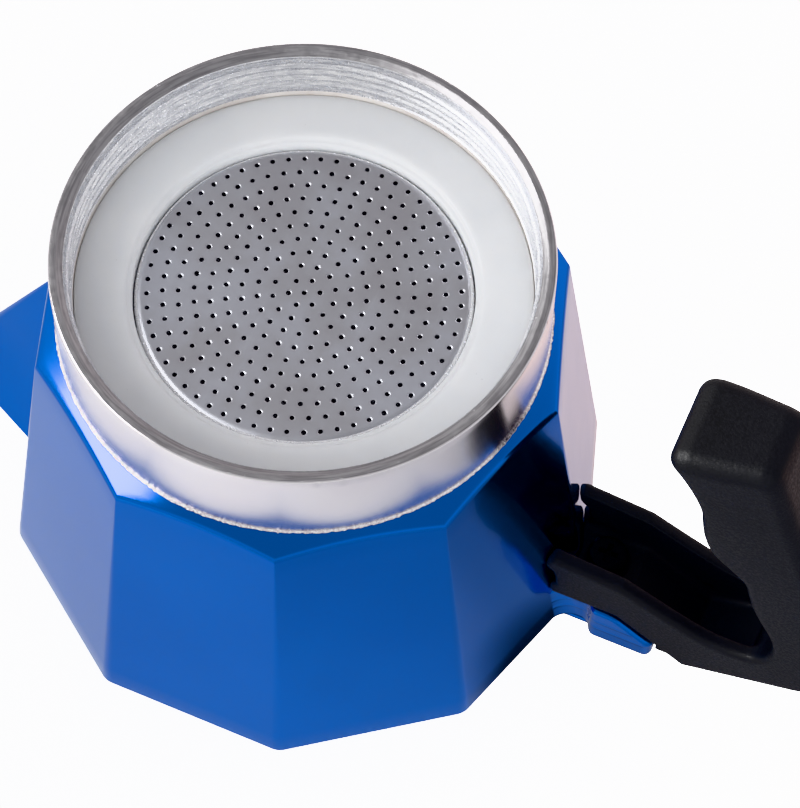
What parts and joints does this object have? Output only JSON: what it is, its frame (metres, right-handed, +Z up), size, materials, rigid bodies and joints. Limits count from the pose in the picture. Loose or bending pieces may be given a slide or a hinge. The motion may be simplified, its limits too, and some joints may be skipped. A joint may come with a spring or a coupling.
{
  "type": "coffee percolator",
  "caption": "Upper assembly of a ten-sided stovetop moka pot, upside down: painted jug with spout and hinged lid, threaded collar, seal, filter plate and finger-grooved handle.",
  "frame": {"origin": "centre of the lid knob's flat face, on the pot's axis; the assembly stands upside down on it", "axes": "+Z up along the pot's axis, from the lid to the threaded collar; +X towards the handle, -X towards the spout"},
  "size_m": [0.1591, 0.0908, 0.0984],
  "materials": {
    "painted_metal": "glossy stoved enamel on cast aluminium",
    "machined_aluminium": "turned, bright",
    "cast_aluminium": "as cast, satin",
    "pressed_aluminium": "pressed sheet, scuffed",
    "silicone": "translucent white silicone, satin",
    "black_plastic": "moulded, fine grain",
    "steel": "plated"
  },
  "bodies": {
    "collector": {"collector_body": "painted_metal", "threaded_collar": "machined_aluminium", "riser_column": "cast_aluminium", "handle": "black_plastic", "handle_screw": "steel", "handle_washer": "steel", "hinge_pin": "steel"},
    "lid": {"lid": "painted_metal", "knob": "black_plastic", "knob_screw": "steel", "knob_washer": "steel"},
    "seal": {"seal_ring": "silicone"},
    "filter": {"filter_plate": "pressed_aluminium"}
  },
  "joints": [
    {"name": "lid_hinge", "type": "hinge", "parent": "collector", "child": "lid", "pos_m": [0.0565, 0, 0.0306], "axis": [0, -1, 0], "range_deg": [0, 100]},
    {"name": "seal_lift", "type": "slide", "parent": "collector", "child": "seal", "axis": [0, 0, 1], "range_m": [0, 0.03]},
    {"name": "filter_lift", "type": "slide", "parent": "collector", "child": "filter", "axis": [0, 0, 1], "range_m": [0, 0.018]}
  ],
  "couplings": [
    {"joint": "filter_lift", "follows": "seal_lift", "ratio": 0.6}
  ]
}
